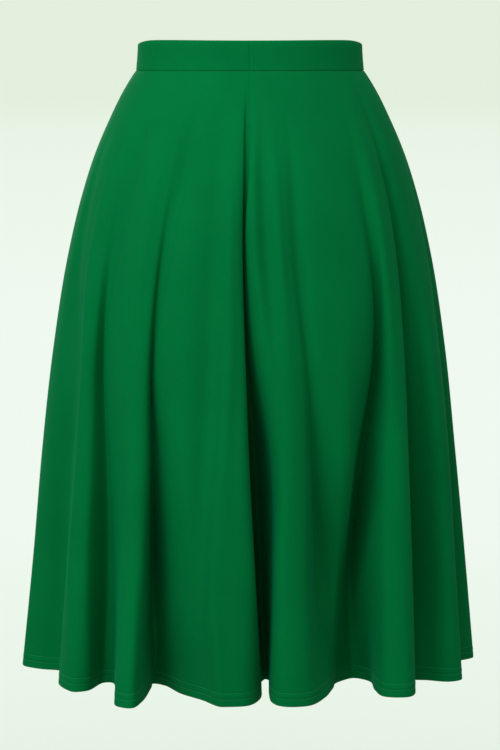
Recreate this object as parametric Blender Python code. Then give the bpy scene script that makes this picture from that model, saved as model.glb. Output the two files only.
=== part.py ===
"""Swing skirt, worn form: four flared panels, a waistband in four pieces and a concealed back zip.

Metres, +Z up, the wearer faces -Y. The origin is the centre of the waist, at the waistband's
mid-height, where the wearer's waist carries the skirt.
"""
import math

import bmesh
import bpy
from mathutils import Vector

# ---------------------------------------------------------------- driving sizes
BAND_TOP = 0.0170           # waistband's upper edge
BAND_BOTTOM = -0.0170       # waistband's seam to the skirt
HEM = -0.7160               # hem edge
CLOTH = 0.0012              # panel wall
BAND_CLOTH = 0.0024         # waistband wall, two layers
SEAM_GAP = 0.0003           # between neighbouring pieces
PANEL_TOP = BAND_BOTTOM - SEAM_GAP
FRONT_DIP = 0.0010          # the waistband's upper edge dips this much at centre front

ZIP_GAP = 0.0019            # the waistband's ends stand this far apart at the zip
ZIP_END = -0.2000           # lower end of the zip tape
TAPE = 0.0010               # zip tape's thickness
BAND_EASE = 0.0005          # from the waistband's inside to the tape
PANEL_EASE = 0.0008         # from the panels' inside to the tape, level: their upper part slopes
TAPE_HALF = 0.0110          # half the width of the two tapes side by side
COIL_HALF = 0.0023          # half the width of the closed coil
COIL = 0.0016               # how far the coil stands in from the tape
SLIDER_LOW, SLIDER_HIGH = 0.0065, 0.0150
SLIDER_HALF = 0.0026        # half the slider body's width
SLIDER_DEEP = 0.0028        # slider body's depth, inside the waistband
NECK = 0.0013               # thickness of the slider's neck and eye
NECK_HALF = 0.0018          # half the neck's height
EYE_OUTER, EYE_INNER = 0.0022, 0.00115
PULL_Z = 0.0105             # height of the pull tab's axis
PULL_LONG = 0.0170
PULL_HALF = 0.0028          # half the tab's width at the top
PULL_END_HALF = 0.0022      # and at its rounded lower end
PULL_THICK = 0.0012
PULL_BAR = 0.00055          # half the height of the tab's cross bar
PULL_EYE_HALF, PULL_EYE_LONG = 0.0015, 0.0042

# colour, roughness, metallic
KNIT = ((0.004, 0.168, 0.052), 0.85, 0.0)
TAPE_WEAVE = ((0.006, 0.110, 0.036), 0.80, 0.0)
ENAMEL = ((0.010, 0.130, 0.045), 0.35, 0.3)       # on the slider and its tab

# ---------------------------------------------------------------- the smooth body
# A ring for each height: half the width, side to side, and half the depth, front to back.
RINGS = [
    # height   half_wide half_deep
    (0.0170, 0.1262, 0.0940),
    (0.0135, 0.1272, 0.0950),
    (0.0050, 0.1278, 0.0956),
    (-0.0100, 0.1290, 0.0965),
    (-0.0170, 0.1300, 0.0975),
    (-0.0230, 0.1340, 0.1000),
    (-0.0400, 0.1444, 0.1075),
    (-0.0740, 0.1614, 0.1205),
    (-0.1080, 0.1762, 0.1320),
    (-0.1660, 0.1951, 0.1470),
    (-0.2230, 0.2089, 0.1580),
    (-0.3390, 0.2285, 0.1730),
    (-0.4570, 0.2425, 0.1845),
    (-0.5750, 0.2532, 0.1935),
    (-0.7160, 0.2650, 0.2030),
]

# ---------------------------------------------------------------- the folds
# Each row is one line down the cloth: a crest, the shoulder or flank of a crest, or the bed of a
# fold. az is the angle round the body in degrees, 0 at centre front and growing towards +X, and
# out is the share of the ring's size that the line reaches. Every line leaves the waist on the
# ring. A row with a wide value is a round crest or bed: it stands for two lines, that many degrees
# to each side at the hem and closer together above.
LEVELS = (PANEL_TOP, -0.2230, -0.3400, -0.4570, -0.5800, HEM)   # waist, hip, thigh, knee, calf, hem
WAIST_WIDE = 0.35                             # the share of wide that is left at the waist
FOLDS = [
    # name   az_waist  az, out at hip   at thigh    at knee     at calf     at hem      wide
    ("side_left", -98, -98, 1.00, -98.5, 0.99, -99, 0.98, -99.5, 0.98, -100, 0.98, 0),
    ("a", -89, -90, 1.00, -90.5, 1.00, -91, 1.00, -91, 1.00, -91, 1.01, 3),
    ("a_front", -78, -76, 0.99, -77.5, 0.98, -78, 0.97, -82, 0.95, -83, 0.94, 0),
    ("ab_bed", -71, -72.5, 0.97, -67.5, 0.94, -71.5, 0.90, -76.5, 0.87, -78, 0.84, 0),
    ("b_left", -65, -64.5, 0.99, -58, 0.98, -57.5, 0.97, -60, 0.95, -60.5, 0.95, 0),
    ("b", -59, -58.5, 1.00, -55, 1.00, -54, 0.99, -55, 0.98, -50.5, 0.99, 1),
    ("b_right", -52, -53.5, 0.98, -52.5, 0.97, -50.5, 0.96, -50.5, 0.95, -48.5, 0.93, 0),
    ("bc_bed", -47.5, -51.5, 0.95, -54, 0.89, -52.5, 0.84, -54.5, 0.78, -55.5, 0.77, 0),
    ("bc_flank", -44.5, -47, 0.97, -48.5, 0.93, -47, 0.87, -50, 0.79, -54, 0.74, 0),
    ("c_left", -39.5, -41, 1.00, -42.5, 0.98, -37, 0.96, -38.5, 0.92, -36, 0.97, 0),
    ("c", -35.5, -37, 1.01, -37.5, 1.00, -34, 0.99, -33.5, 1.00, -30.5, 1.10, 0),
    ("c_crest", -31.5, -33, 1.01, -33, 1.01, -31, 1.00, -30, 1.01, -26.5, 1.11, 0),
    ("c_right", -27, -30, 0.99, -30.5, 0.98, -29.5, 0.96, -29, 0.97, -28, 0.97, 0),
    ("cd_bed", -24, -29, 0.96, -32, 0.90, -35, 0.79, -41.5, 0.66, -37.5, 0.70, 0),
    ("cd_wall", -21.5, -26, 0.98, -28.5, 0.94, -29.5, 0.83, -35.5, 0.69, -42.5, 0.62, 0),
    ("d_left", -18.5, -22.5, 0.99, -24.5, 0.96, -23, 0.91, -26, 0.79, -36.5, 0.62, 0),
    ("d_face", -15.5, -19, 1.00, -19, 0.97, -18.5, 0.94, -18.5, 0.87, -23.5, 0.74, 0),
    ("d_dip", -10.5, -12.5, 0.99, -12.5, 0.96, -13, 0.94, -13, 0.92, -13.5, 0.85, 0),
    ("d", -6.5, -7, 1.01, -7, 1.00, -8, 0.99, -8.5, 0.99, -6.5, 0.97, 1),
    ("d_edge", -3.5, -3.5, 1.00, -2.5, 0.98, -2, 0.98, -1, 0.97, -0.5, 0.94, 0),
    ("d_right", -2, -2.5, 0.97, -1.5, 0.95, -0.5, 0.94, 1, 0.93, 3, 0.80, 0),
    ("slit_left", -1.5, -3, 0.90, -2.5, 0.82, -1.5, 0.61, 1, 0.45, 6.5, 0.43, 0),
    ("slit_bed", -1, -2.5, 0.86, -1, 0.72, 2.5, 0.47, 7.5, 0.35, 11, 0.36, 0),
    ("slit_right", -0.5, -1.5, 0.90, 0.5, 0.80, 7, 0.58, 10.5, 0.44, 12, 0.44, 0),
    ("front_seam", 0, -0.5, 0.96, 2.5, 0.89, 7.5, 0.74, 9, 0.60, 7.5, 0.63, 0),
    ("e_left", 1, 0.5, 0.98, 4, 0.94, 7.5, 0.87, 7.5, 0.80, 6, 0.83, 0),
    ("e_lip", 2.5, 1.5, 1.00, 5.5, 0.97, 8, 0.93, 7, 0.92, 6, 0.86, 0),
    ("e_dip", 4.5, 5, 0.98, 7.5, 0.98, 8.5, 0.96, 7.5, 0.96, 7, 0.94, 0),
    ("e", 8, 9, 1.01, 10.5, 1.00, 10.5, 0.98, 9, 0.98, 9.5, 0.98, 0),
    ("e_shoulder", 11.5, 11.5, 1.00, 14.5, 0.98, 15.5, 0.95, 15, 0.95, 15, 0.97, 0),
    ("e_right", 14.5, 14.5, 0.98, 17.5, 0.94, 20.5, 0.83, 23.5, 0.73, 22.5, 0.83, 0),
    ("e_panel", 18, 18, 1.00, 19.5, 0.97, 24, 0.88, 27, 0.72, 28, 0.73, 0),
    ("ef_panel", 28, 26.5, 1.00, 25.5, 0.98, 27, 0.92, 31, 0.74, 33.5, 0.65, 0),
    ("ef_edge", 36.5, 36, 0.99, 29.5, 0.98, 30.5, 0.91, 34, 0.72, 38.5, 0.59, 0),
    ("ef_wall", 39, 40, 0.98, 38, 0.93, 37, 0.80, 41.5, 0.64, 45.5, 0.56, 0),
    ("ef_bed", 41, 43.5, 0.95, 48, 0.83, 48.5, 0.69, 52, 0.57, 54, 0.56, 0),
    ("ef_flank", 43.5, 44.5, 0.97, 47, 0.88, 46.5, 0.78, 48, 0.68, 52, 0.66, 0),
    ("f_left", 46.5, 45, 0.99, 44.5, 0.95, 42, 0.93, 40.5, 0.89, 41.5, 0.81, 0),
    ("f", 49, 46, 1.00, 44.5, 0.98, 42.5, 0.96, 40.5, 0.94, 37.5, 0.94, 0),
    ("f_crest", 52, 48.5, 1.00, 47, 0.99, 45, 0.99, 44, 0.98, 42, 1.01, 0),
    ("f_right", 55, 52, 0.99, 50.5, 0.98, 48.5, 0.98, 48, 0.97, 48, 0.95, 0),
    ("fg_bed", 59, 58, 0.93, 61, 0.84, 63, 0.76, 64.5, 0.72, 57.5, 0.74, 0),
    ("g_left", 64, 62.5, 0.97, 65.5, 0.91, 67.5, 0.86, 68.5, 0.83, 63.5, 0.84, 0),
    ("g", 69, 70, 0.99, 67.5, 0.98, 68.5, 0.97, 68, 0.96, 64.5, 0.96, 0),
    ("g_right", 76, 77, 0.99, 76.5, 0.98, 74.5, 0.98, 72, 0.98, 69, 0.99, 0),
    ("gh_bed", 83, 85, 0.97, 86, 0.93, 87, 0.88, 86, 0.84, 85, 0.81, 2),
    ("h", 91, 94, 1.00, 96, 1.00, 98, 1.00, 99.5, 1.01, 101, 1.02, 2),
    ("side_right", 100, 103, 0.99, 105, 0.98, 107, 0.97, 108.5, 0.97, 110, 0.97, 0),
    ("hi_bed", 107, 109, 0.95, 111, 0.90, 113, 0.83, 113.5, 0.78, 114, 0.74, 2),
    ("i", 118, 119, 1.00, 120.5, 1.00, 122, 0.99, 122.5, 0.99, 123, 0.99, 4),
    ("ij_bed", 130, 130, 0.94, 130.5, 0.86, 131, 0.78, 131, 0.72, 131, 0.66, 2.5),
    ("j", 141, 141, 1.00, 140.5, 1.00, 140, 1.00, 139.5, 1.01, 139, 1.02, 4),
    ("jk_bed", 151, 151, 0.93, 151, 0.85, 151, 0.77, 150.5, 0.71, 150, 0.65, 2.5),
    ("k", 164, 164, 1.00, 163.5, 1.00, 163, 0.99, 162.5, 1.00, 162, 1.00, 5),
    ("kl_bed", 173, 173, 0.99, 173, 0.97, 173, 0.93, 173, 0.88, 173, 0.83, 2),
    ("back_seam", 180, 180, 1.00, 180, 0.98, 180, 0.96, 180.5, 0.95, 181, 0.93, 0),
    ("l", 190, 190, 1.00, 190.5, 1.00, 191, 0.99, 191.5, 0.99, 192, 1.00, 4),
    ("lm_bed", 204, 204, 0.93, 203.5, 0.84, 203, 0.75, 203, 0.68, 203, 0.62, 3),
    ("m", 218, 217, 1.00, 216.5, 1.00, 216, 1.00, 215.5, 1.01, 215, 1.01, 5),
    ("mn_bed", 229, 229, 0.94, 229, 0.87, 229, 0.79, 229, 0.73, 229, 0.68, 2.5),
    ("n", 241, 241, 1.00, 241, 1.00, 241, 1.00, 240.5, 0.99, 240, 0.98, 5),
    ("na_bed", 254, 254, 0.95, 254, 0.90, 254, 0.84, 253.5, 0.79, 253, 0.73, 2.5),
]
PANELS = {
    "panel_front_left": ("side_left", "front_seam"),
    "panel_front_right": ("front_seam", "side_right"),
    "panel_back_right": ("side_right", "back_seam"),
    "panel_back_left": ("back_seam", "side_left"),
}
BANDS = ("waistband_front_left", "waistband_front_right", "waistband_back_right",
         "waistband_back_left")                    # from the left side round the front
SPAN_STEPS = ((0.009, 1), (0.022, 2), (0.045, 3))   # a span up to this long has so many steps
LONG_STEPS = 4                                      # and a longer one this many
PANEL_ROWS = [PANEL_TOP, -0.025, -0.038, -0.058, -0.085, -0.120, -0.165, -0.215, -0.270,
              -0.330, -0.395, -0.460, -0.530, -0.600, -0.660, HEM]
BAND_ROWS = [BAND_BOTTOM, -0.0060, 0.0050, 0.0135, BAND_TOP]
BAND_STEPS = 12


# ---------------------------------------------------------------- curves
def hermite(x, knots, values, first_slope=None):
    """A smooth curve through values at ascending knots."""
    span = [knots[i + 1] - knots[i] for i in range(len(knots) - 1)]
    rise = [(values[i + 1] - values[i]) / span[i] for i in range(len(span))]
    slopes = [rise[0] if first_slope is None else first_slope]
    for i in range(1, len(span)):
        slopes.append((rise[i - 1] * span[i] + rise[i] * span[i - 1]) / (span[i - 1] + span[i]))
    slopes.append(rise[-1])
    i = max(0, min(len(span) - 1, sum(1 for k in knots[1:-1] if x > k)))
    t = (x - knots[i]) / span[i]
    t = max(0.0, min(1.0, t))
    a, b = values[i], values[i + 1]
    return ((2 * t ** 3 - 3 * t ** 2 + 1) * a + (3 * t ** 2 - 2 * t ** 3) * b
            + (t ** 3 - 2 * t ** 2 + t) * span[i] * slopes[i]
            + (t ** 3 - t ** 2) * span[i] * slopes[i + 1])


def ring_size(z):
    """Half width and half depth of the smooth body at height z."""
    down = [-row[0] for row in RINGS]
    return tuple(hermite(-z, down, [row[k] for row in RINGS]) for k in (1, 2))


def on_ring(z, azimuth, out=1.0):
    half_wide, half_deep = ring_size(z)
    angle = math.radians(azimuth)
    return Vector((out * half_wide * math.sin(angle), -out * half_deep * math.cos(angle), z))


def fold_lines():
    """The table's rows, with each round crest or bed as its two lines."""
    lines = []
    for name, *values, wide in FOLDS:
        if wide:
            lines += [(name + "_1", *values, -wide), (name + "_2", *values, wide)]
        else:
            lines.append((name, *values, 0.0))
    return lines


def fold_points(z):
    """Where every fold line passes the height z."""
    down = [-level for level in LEVELS]
    share = (PANEL_TOP - z) / (PANEL_TOP - HEM)
    spread = WAIST_WIDE + (1.0 - WAIST_WIDE) * share
    points = []
    for _, az_waist, *below, wide in fold_lines():
        azimuth = hermite(-z, down, (az_waist, *below[0::2])) + wide * spread
        out = hermite(-z, down, (1.0, *below[1::2]), first_slope=0.0)
        points.append(on_ring(z, azimuth, out))
    return points


def between(p0, p1, p2, p3, t):
    """A point between p1 and p2 on a centripetal Catmull-Rom curve."""
    k1 = max((p1 - p0).length, 1e-6) ** 0.5
    k2 = k1 + max((p2 - p1).length, 1e-6) ** 0.5
    k3 = k2 + max((p3 - p2).length, 1e-6) ** 0.5
    u = k1 + (k2 - k1) * t
    a1 = p0.lerp(p1, u / k1)
    a2 = p1.lerp(p2, (u - k1) / (k2 - k1))
    a3 = p2.lerp(p3, (u - k2) / (k3 - k2))
    b1 = a1.lerp(a2, u / k2)
    b2 = a2.lerp(a3, (u - k1) / (k3 - k1))
    return b1.lerp(b2, (u - k1) / (k2 - k1))


def span_steps():
    """How many steps each span between two fold lines has, from its length at the hem."""
    lines = fold_points(HEM)
    lengths = [(lines[(i + 1) % len(lines)] - p).length for i, p in enumerate(lines)]
    return [next((n for limit, n in SPAN_STEPS if length < limit), LONG_STEPS) for length in lengths]


def cloth_ring(z, steps):
    """The whole cloth at height z, with so many steps in each span."""
    lines = fold_points(z)
    count = len(lines)
    return [between(lines[i - 1], lines[i], lines[(i + 1) % count], lines[(i + 2) % count], k / steps[i])
            for i in range(count) for k in range(steps[i])]


def ring_normals(grid):
    """Outward normals of closed rings, from the top down; level at the first and last ring, so
    a piece's upper and lower edges stay at their heights."""
    rows, columns = len(grid), len(grid[0])
    normals = []
    for j in range(rows):
        line = []
        for i in range(columns):
            across = grid[j][(i + 1) % columns] - grid[j][i - 1]
            along = grid[min(j + 1, rows - 1)][i] - grid[max(j - 1, 0)][i]
            normal = along.cross(across)
            if j in (0, rows - 1):
                normal.z = 0.0
            line.append(normal.normalized())
        normals.append(line)
    return normals


# ---------------------------------------------------------------- solids
def paint(name, colour, roughness, metallic=0.0):
    material = bpy.data.materials.new(name)
    material.use_nodes = True
    shader = material.node_tree.nodes["Principled BSDF"]
    shader.inputs["Base Color"].default_value = (*colour, 1.0)
    shader.inputs["Roughness"].default_value = roughness
    shader.inputs["Metallic"].default_value = metallic
    material.diffuse_color = (*colour, 1.0)
    return material


def new_object(name, mesh, finish):
    mesh.materials.append(paint(name, *finish))
    piece = bpy.data.objects.new(name, mesh)
    bpy.context.scene.collection.objects.link(piece)
    return piece


def wall(name, outer, inner, finish, keep=None):
    """A closed wall between two grids of points; keep(row, column) says which cells it has."""
    rows, columns = len(outer), len(outer[0])
    bm = bmesh.new()
    sides = [[[bm.verts.new(p) for p in line] for line in grid] for grid in (outer, inner)]
    kept = {(j, i) for j in range(rows - 1) for i in range(columns - 1) if keep is None or keep(j, i)}
    for j, i in kept:
        out, into = sides
        bm.faces.new((out[j][i], out[j + 1][i], out[j + 1][i + 1], out[j][i + 1]))
        bm.faces.new((into[j][i], into[j][i + 1], into[j + 1][i + 1], into[j + 1][i]))
        edges = (((j, i), (j, i + 1), (j - 1, i)), ((j + 1, i + 1), (j + 1, i), (j + 1, i)),
                 ((j + 1, i), (j, i), (j, i - 1)), ((j, i + 1), (j + 1, i + 1), (j, i + 1)))
        for (j0, i0), (j1, i1), neighbour in edges:
            if neighbour not in kept:
                bm.faces.new((out[j0][i0], out[j1][i1], into[j1][i1], into[j0][i0]))
    loose = [v for v in bm.verts if not v.link_faces]
    bmesh.ops.delete(bm, geom=loose, context="VERTS")
    bmesh.ops.triangulate(bm, faces=bm.faces[:])
    mesh = bpy.data.meshes.new(name)
    bm.to_mesh(mesh)
    bm.free()
    mesh.shade_smooth()
    return new_object(name, mesh, finish)


def cut_pieces(ring, thickness, pieces):
    """Cut closed rings of cloth into walls; pieces gives each one's first and last column, and
    how far each of its ends stands back from the seam."""
    normals = ring_normals(ring)
    columns = len(ring[0])
    for name, (first, last, back_first, back_last) in pieces.items():
        span = [i % columns for i in range(first, last + 1)]
        sides = []
        for distance in (thickness / 2, -thickness / 2):
            grid = [[line[i] + row[i] * distance for i in span] for line, row in zip(ring, normals)]
            for line, middle in zip(grid, ring):
                for end, back in ((0, back_first), (-1, -back_last)):
                    i = span[end]
                    along = (middle[(i + 1) % columns] - middle[i - 1]).normalized()
                    line[end] = line[end] + along * back
            sides.append(grid)
        wall(name, *sides, KNIT)


def add_panels():
    names = [line[0] for line in fold_lines()]
    steps = span_steps()
    pieces = {}
    for name, (first, last) in PANELS.items():
        start, end = (sum(steps[:names.index(line)]) for line in (first, last))
        end += sum(steps) if end < start else 0
        pieces[name] = (start, end, SEAM_GAP / 2, SEAM_GAP / 2)
    cut_pieces([cloth_ring(z, steps) for z in PANEL_ROWS], CLOTH, pieces)


def band_ring(z):
    """The waistband at height z from the left side round; its upper edge dips at centre front."""
    ring = []
    share = (z - BAND_BOTTOM) / (BAND_TOP - BAND_BOTTOM)
    for i in range(4 * BAND_STEPS):
        azimuth = -90 + 90 * i / BAND_STEPS
        point = on_ring(z, azimuth)
        point.z -= FRONT_DIP * share * max(0.0, math.cos(math.radians(azimuth))) ** 4
        ring.append(point)
    return ring


def add_waistband():
    pieces = {}
    for k, name in enumerate(BANDS):
        ends = [ZIP_GAP / 2 if name in at_zip else SEAM_GAP / 2
                for at_zip in (("waistband_back_left",), ("waistband_back_right",))]
        pieces[name] = (k * BAND_STEPS, (k + 1) * BAND_STEPS, *ends)
    cut_pieces([band_ring(z) for z in reversed(BAND_ROWS)], BAND_CLOTH, pieces)


# ---------------------------------------------------------------- concealed zip
def back_middle(z, across):
    """A point of the back's middle surface, across metres from the centre seam towards +X."""
    if z > PANEL_TOP:
        return on_ring(z, 180 - math.degrees(math.asin(across / ring_size(z)[0])))
    lines = fold_points(z)
    seam = [line[0] for line in fold_lines()].index("back_seam")
    way = -1 if across > 0 else 1
    p0, p1, p2, p3 = (lines[seam + way * k] for k in (-1, 0, 1, 2))
    return between(p0, p1, p2, p3, abs(across) / (p2 - p1).length)


def back_point(z, across, inwards):
    """The same, moved inwards from the cloth's middle."""
    along = back_middle(z, across - 0.001) - back_middle(z, across + 0.001)
    outward = along.cross(Vector((0.0, 0.0, 1.0))).normalized()
    return back_middle(z, across) - outward * inwards


def add_zip_tape():
    """Two tapes side by side with the closed coil between them, up the inside of the back seam."""
    notch = SLIDER_HALF + 0.0005
    columns = (TAPE_HALF, notch, COIL_HALF, -COIL_HALF, -notch, -TAPE_HALF)
    rows = [SLIDER_HIGH, SLIDER_LOW - SEAM_GAP] + [z for z in reversed(BAND_ROWS) if z < 0.0]
    rows += [z for z in PANEL_ROWS if PANEL_TOP > z > ZIP_END] + [ZIP_END]
    outer, inner = [], []
    for z in rows:
        seat = BAND_CLOTH / 2 + BAND_EASE if z > PANEL_TOP else CLOTH / 2 + PANEL_EASE
        outer.append([back_point(z, x, seat) for x in columns])
        thick = [TAPE, TAPE, TAPE + COIL, TAPE + COIL, TAPE, TAPE]
        inner.append([back_point(z, x, seat + t) for x, t in zip(columns, thick)])

    def keep(row, column):
        return row > 0 or column in (0, 4)
    return wall("zip_tape", outer, inner, TAPE_WEAVE, keep)


def box_mesh(name, low, high, bevel):
    bm = bmesh.new()
    bmesh.ops.create_cube(bm, size=1.0)
    for v in bm.verts:
        v.co = Vector([low[k] if v.co[k] < 0 else high[k] for k in range(3)])
    bmesh.ops.bevel(bm, geom=bm.edges[:], offset=bevel, segments=2, profile=0.5, affect="EDGES")
    mesh = bpy.data.meshes.new(name)
    bm.to_mesh(mesh)
    bm.free()
    return mesh


def plate_mesh(name, outline, hole, thickness, place):
    """A flat plate with one hole; place turns (across, up, through) into a point."""
    bm = bmesh.new()
    faces = []
    for through in (-thickness / 2, thickness / 2):
        loops = [[bm.verts.new(place(a, b, through)) for a, b in loop] for loop in (outline, hole)]
        edges = [bm.edges.new((loop[i - 1], loop[i])) for loop in loops for i in range(len(loop))]
        filled = bmesh.ops.triangle_fill(bm, use_beauty=True, edges=edges)
        faces.append((loops, filled))
    for k in range(2):
        near, far = faces[0][0][k], faces[1][0][k]
        for i in range(len(near)):
            bm.faces.new((near[i - 1], near[i], far[i], far[i - 1]))
    bmesh.ops.recalc_face_normals(bm, faces=bm.faces[:])
    mesh = bpy.data.meshes.new(name)
    bm.to_mesh(mesh)
    bm.free()
    return mesh


def circle(radius, steps=20):
    return [(radius * math.cos(math.tau * i / steps), radius * math.sin(math.tau * i / steps))
            for i in range(steps)]


def pull_axis_y():
    """The pull tab's axis stands this far back, so the slider's eye clears the waistband."""
    return ring_size(PULL_Z)[1] + BAND_CLOTH / 2 + SEAM_GAP + EYE_OUTER


def add_slider():
    """The slider's body lies inside the waistband; its neck comes out between the band's ends."""
    face = back_point(SLIDER_HIGH, SLIDER_HALF, BAND_CLOTH / 2 + 2 * SEAM_GAP).y
    body = box_mesh("zip_slider", (-SLIDER_HALF, face - SLIDER_DEEP, SLIDER_LOW),
                    (SLIDER_HALF, face, SLIDER_HIGH), 0.0006)
    slider = new_object("zip_slider", body, ENAMEL)
    axis_y = pull_axis_y()
    start = math.asin(NECK_HALF / EYE_OUTER)
    steps = 22
    sweep = [math.pi - start - (math.tau - 2 * start) * i / steps for i in range(steps + 1)]
    eye = [(EYE_OUTER * math.cos(a), EYE_OUTER * math.sin(a)) for a in sweep]
    root = face - SLIDER_DEEP / 2 - axis_y
    outline = [(root, NECK_HALF)] + eye + [(root, -NECK_HALF)]
    neck_mesh = plate_mesh("slider_neck", outline, circle(EYE_INNER, 16), NECK,
                           lambda a, b, through: (through, axis_y + a, PULL_Z + b))
    neck = new_object("slider_neck", neck_mesh, ENAMEL)
    neck.hide_render = True
    neck.display_type = "WIRE"
    union = slider.modifiers.new("neck", "BOOLEAN")
    union.operation = "UNION"
    union.solver = "EXACT"
    union.object = neck
    return slider


def add_pull_tab():
    """A flat tab whose cross bar hangs in the slider's eye; its origin is on the hinge axis."""
    steps = 12
    round_end = [(-PULL_END_HALF * math.cos(math.pi * i / steps),
                  -PULL_LONG + PULL_END_HALF * (1 - math.sin(math.pi * i / steps)))
                 for i in range(steps + 1)]
    outline = [(-PULL_HALF, PULL_BAR)] + [(-PULL_HALF, -PULL_EYE_LONG)] + round_end
    outline += [(PULL_HALF, -PULL_EYE_LONG), (PULL_HALF, PULL_BAR)]
    hole = [(-PULL_EYE_HALF, -PULL_BAR), (-PULL_EYE_HALF, -PULL_EYE_LONG),
            (PULL_EYE_HALF, -PULL_EYE_LONG), (PULL_EYE_HALF, -PULL_BAR)]
    mesh = plate_mesh("zip_pull_tab", outline, hole, PULL_THICK, lambda a, b, through: (a, through, b))
    tab = new_object("zip_pull_tab", mesh, ENAMEL)
    tab.location = (0.0, pull_axis_y(), PULL_Z)
    return tab


# ---------------------------------------------------------------- the skirt
def main():
    for old in list(bpy.data.objects):
        bpy.data.objects.remove(old, do_unlink=True)
    add_panels()
    add_waistband()
    add_zip_tape()
    add_slider()
    add_pull_tab()


main()
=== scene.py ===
import math

import bmesh
import bpy
import numpy as np
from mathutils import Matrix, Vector


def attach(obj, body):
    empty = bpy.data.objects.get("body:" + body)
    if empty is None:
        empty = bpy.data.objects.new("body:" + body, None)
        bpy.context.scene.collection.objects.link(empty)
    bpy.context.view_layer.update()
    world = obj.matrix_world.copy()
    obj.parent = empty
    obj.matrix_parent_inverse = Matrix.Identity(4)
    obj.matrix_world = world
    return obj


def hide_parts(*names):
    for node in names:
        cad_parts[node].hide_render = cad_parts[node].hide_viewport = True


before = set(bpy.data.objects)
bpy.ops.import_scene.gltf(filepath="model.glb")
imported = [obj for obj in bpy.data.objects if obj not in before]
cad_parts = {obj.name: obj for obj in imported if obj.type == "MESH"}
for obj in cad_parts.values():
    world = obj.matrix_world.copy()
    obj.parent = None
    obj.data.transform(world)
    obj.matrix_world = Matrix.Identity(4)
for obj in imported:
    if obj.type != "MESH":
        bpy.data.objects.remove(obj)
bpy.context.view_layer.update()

# ================================================================ sizes, in metres
BAND_TOP = 0.0170           # waistband's upper edge
BAND_BOTTOM = -0.0170       # waistband's seam to the skirt
HEM = -0.7160               # hem edge
CLOTH = 0.0012              # panel wall
BAND_CLOTH = 0.0024         # waistband wall, two layers
SEAM_GAP = 0.0003           # between neighbouring pieces
PANEL_TOP = BAND_BOTTOM - SEAM_GAP
FRONT_DIP = 0.0010          # the waistband's upper edge dips this much at centre front
SIDE_DIP = 0.0042           # and this much at the sides
ZIP_GAP = 0.0019            # the waistband's ends stand this far apart at the zip
WAIST_RADIUS = 0.226        # the half-circle cut's inner edge

HEM_FOLD = 0.0165           # height of the turned-up hem
HEM_LAYER = 0.0007          # how far the turn-up stands in from the cloth
STITCH_ROWS = (0.0080, 0.0150)   # the twin needle's rows, above the hem edge
STITCH_PITCH = 0.0036
STITCH_LONG = 0.0021
STITCH_RADIUS = 0.00030
STITCH_SINK = 0.00012       # a stitch's ends go this far into the cloth
STITCH_RISE = 0.00016       # and its middle stands this far off it
STITCH_GROOVE = 0.00028     # how deep a row of stitches pulls the cloth in
STITCH_GROOVE_HALF = 0.0008 # and how near to the row it does so
TUNNEL = 0.00022            # the cloth between the two rows stands up this much
TUNNEL_HALF = 0.0026
TURN_EDGE = 0.0006          # the turn-up's raw edge thins out over this height
LOOPER_RADIUS = 0.00026
LOOPER_INSET = 0.002        # the looper thread starts this share of the hem away from the seam
ROW_STEP = 0.0042           # spacing of the cloth's rows
COLUMN_STEP = 0.0044        # and of its columns, along the hem
HEM_ROWS = (0.0, 0.00025, 0.0006, 0.0011, 0.0022, 0.0042, 0.0062, 0.0072, 0.0080, 0.0088, 0.0098,
            0.0115, 0.0132, 0.0142, 0.0150, 0.0158, 0.0164, 0.0169, 0.0180, 0.0205)
TOP_ROWS = (0.0, 0.0003, 0.0008, 0.0015, 0.0026, 0.0045, 0.0070)
SEAM_SHARES = (0.06, 0.18, 0.42)   # extra columns beside a seam, as shares of the first step
SEAM_GROOVE = 0.00055       # how far the cloth rolls in at a seam
SEAM_ROLL = 0.0009          # and how near to the seam it does so
SEWN = 0.00002              # sewn edges meet this closely
ALLOWANCE = 0.0105          # width of the pressed-open seam allowances, inside
ALLOWANCE_LAYER = 0.0006    # and how far they stand in from the cloth
ALLOWANCE_EDGE = 0.0015     # their raw edge thins out over this width
ZIP_ROWS = (0.0060, -0.0060, BAND_BOTTOM, -0.025, -0.038, -0.058, -0.085, -0.120, -0.165, -0.1990)
BAND_EASE = 0.0005          # from the waistband's inside to the zip tape
PANEL_EASE = 0.0008         # from the panels' inside to the tape
TAPE = 0.0010               # zip tape's thickness
COIL = 0.0016               # how far the coil stands in from the tape
COIL_HALF = 0.0022          # half the width of the coil's teeth
TOOTH_PITCH = 0.0013
TOOTH_RADIUS = 0.00045
TAPE_STITCH_OUT = 0.0046    # the tape's stitches run this far from its middle
BAND_COLUMNS = 84           # along a quarter of the waistband, between its edge columns
BAND_QUARTER = 198.0        # a quarter of it on the scale that spaces its columns; it is 180 mm long
BAND_EDGE = (0.0, 0.15, 0.4, 0.8, 1.4, 2.4)   # the edge columns' distances from a seam, on that scale
BAND_HALF_WIDE = 0.128      # the waist's half width and half depth, for the way the band faces
BAND_HALF_DEEP = 0.096

# ================================================================ the smooth body
# A ring for each height: half the width, side to side, and half the depth, front to back.
RINGS = [
    # height   half_wide half_deep
    (0.0170, 0.1262, 0.0940),
    (0.0135, 0.1272, 0.0950),
    (0.0050, 0.1278, 0.0956),
    (-0.0100, 0.1290, 0.0965),
    (-0.0170, 0.1300, 0.0975),
    (-0.0230, 0.1340, 0.1000),
    (-0.0400, 0.1444, 0.1075),
    (-0.0740, 0.1614, 0.1205),
    (-0.1080, 0.1762, 0.1320),
    (-0.1660, 0.1951, 0.1470),
    (-0.2230, 0.2089, 0.1580),
    (-0.3390, 0.2285, 0.1730),
    (-0.4570, 0.2425, 0.1845),
    (-0.5750, 0.2532, 0.1935),
    (-0.7160, 0.2650, 0.2030),
]

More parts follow.
